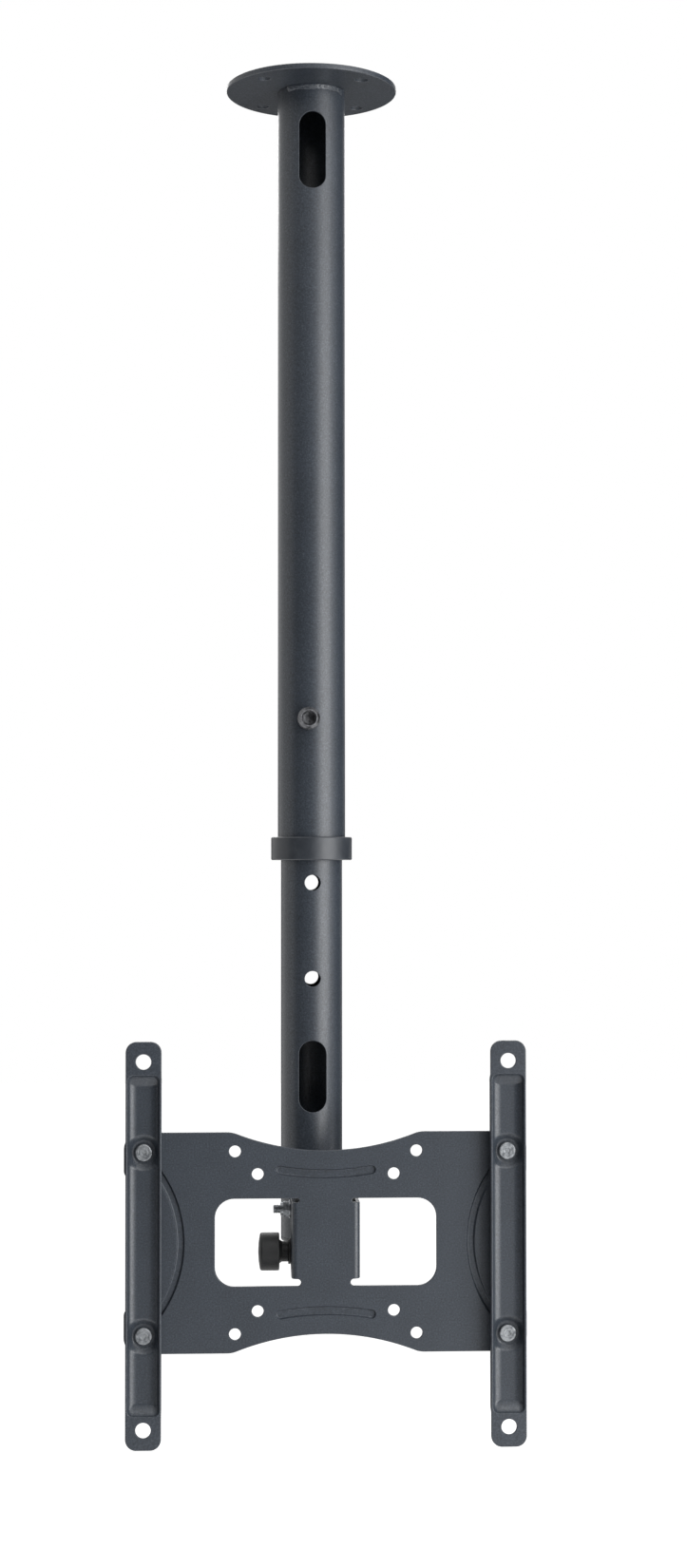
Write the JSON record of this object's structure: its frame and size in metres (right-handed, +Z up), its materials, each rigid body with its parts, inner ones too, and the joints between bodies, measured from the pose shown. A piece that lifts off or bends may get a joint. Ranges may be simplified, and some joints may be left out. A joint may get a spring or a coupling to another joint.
{
  "type": "tv ceiling mount",
  "caption": "Telescopic television ceiling mount: round flange, nested tubes with cable slots, and a waisted tilting screen plate with two pressed channel arms.",
  "frame": {"origin": "middle of the ceiling flange's upper face", "axes": "+Z up into the ceiling, the screen faces -Y, +X to the right of someone who looks at the screen plate"},
  "size_m": [0.222, 0.1123, 0.7674],
  "materials": {
    "powder_coat": "fine-textured charcoal powder coat on steel",
    "collar_plastic": "matt moulded dark grey plastic",
    "black_plastic": "satin moulded black plastic",
    "black_steel": "black oxide steel",
    "zinc_steel": "bright zinc-plated steel",
    "nut_nylon": "translucent white nylon"
  },
  "bodies": {
    "ceiling": {"ceiling_plate": "powder_coat", "ceiling_weld": "powder_coat", "outer_tube": "powder_coat", "collar_ring": "collar_plastic", "screw_boss": "powder_coat"},
    "clamp_screw": {"clamp_screw": "black_steel"},
    "guide": {"guide_ring": "black_plastic"},
    "pole": {"inner_tube": "powder_coat", "tube_end_cap": "collar_plastic", "tilt_yoke": "powder_coat", "yoke_weld": "powder_coat", "hinge_bolt": "zinc_steel", "hinge_washer": "zinc_steel", "hinge_nut": "zinc_steel", "hinge_nut_insert": "nut_nylon", "pivot_washer_left": "black_plastic", "pivot_washer_right": "black_plastic", "lock_nut": "zinc_steel"},
    "knob": {"knob_grip": "black_plastic", "knob_stud": "zinc_steel", "knob_washer": "black_plastic"},
    "head": {"vesa_plate": "powder_coat", "arm_left": "powder_coat", "arm_right": "powder_coat", "arm_rivets": "zinc_steel"}
  },
  "joints": [
    {"name": "clamp_screw_turn", "type": "hinge", "parent": "ceiling", "child": "clamp_screw", "pos_m": [-0.0024, -0.0272, -0.3662], "axis": [0, -1, 0], "continuous": true},
    {"name": "height_slide", "type": "slide", "parent": "ceiling", "child": "guide", "axis": [0, 0, 1], "range_m": [-0.095, 0.175]},
    {"name": "pole_swivel", "type": "hinge", "parent": "guide", "child": "pole", "pos_m": [0, 0, -0.4], "axis": [0, 0, 1], "continuous": true},
    {"name": "tilt", "type": "hinge", "parent": "pole", "child": "head", "pos_m": [0.006, -0.036, -0.6404], "axis": [1, 0, 0], "range_deg": [-5, 15]},
    {"name": "knob_turn", "type": "hinge", "parent": "pole", "child": "knob", "pos_m": [-0.02, -0.036, -0.6639], "axis": [1, 0, 0], "continuous": true}
  ]
}
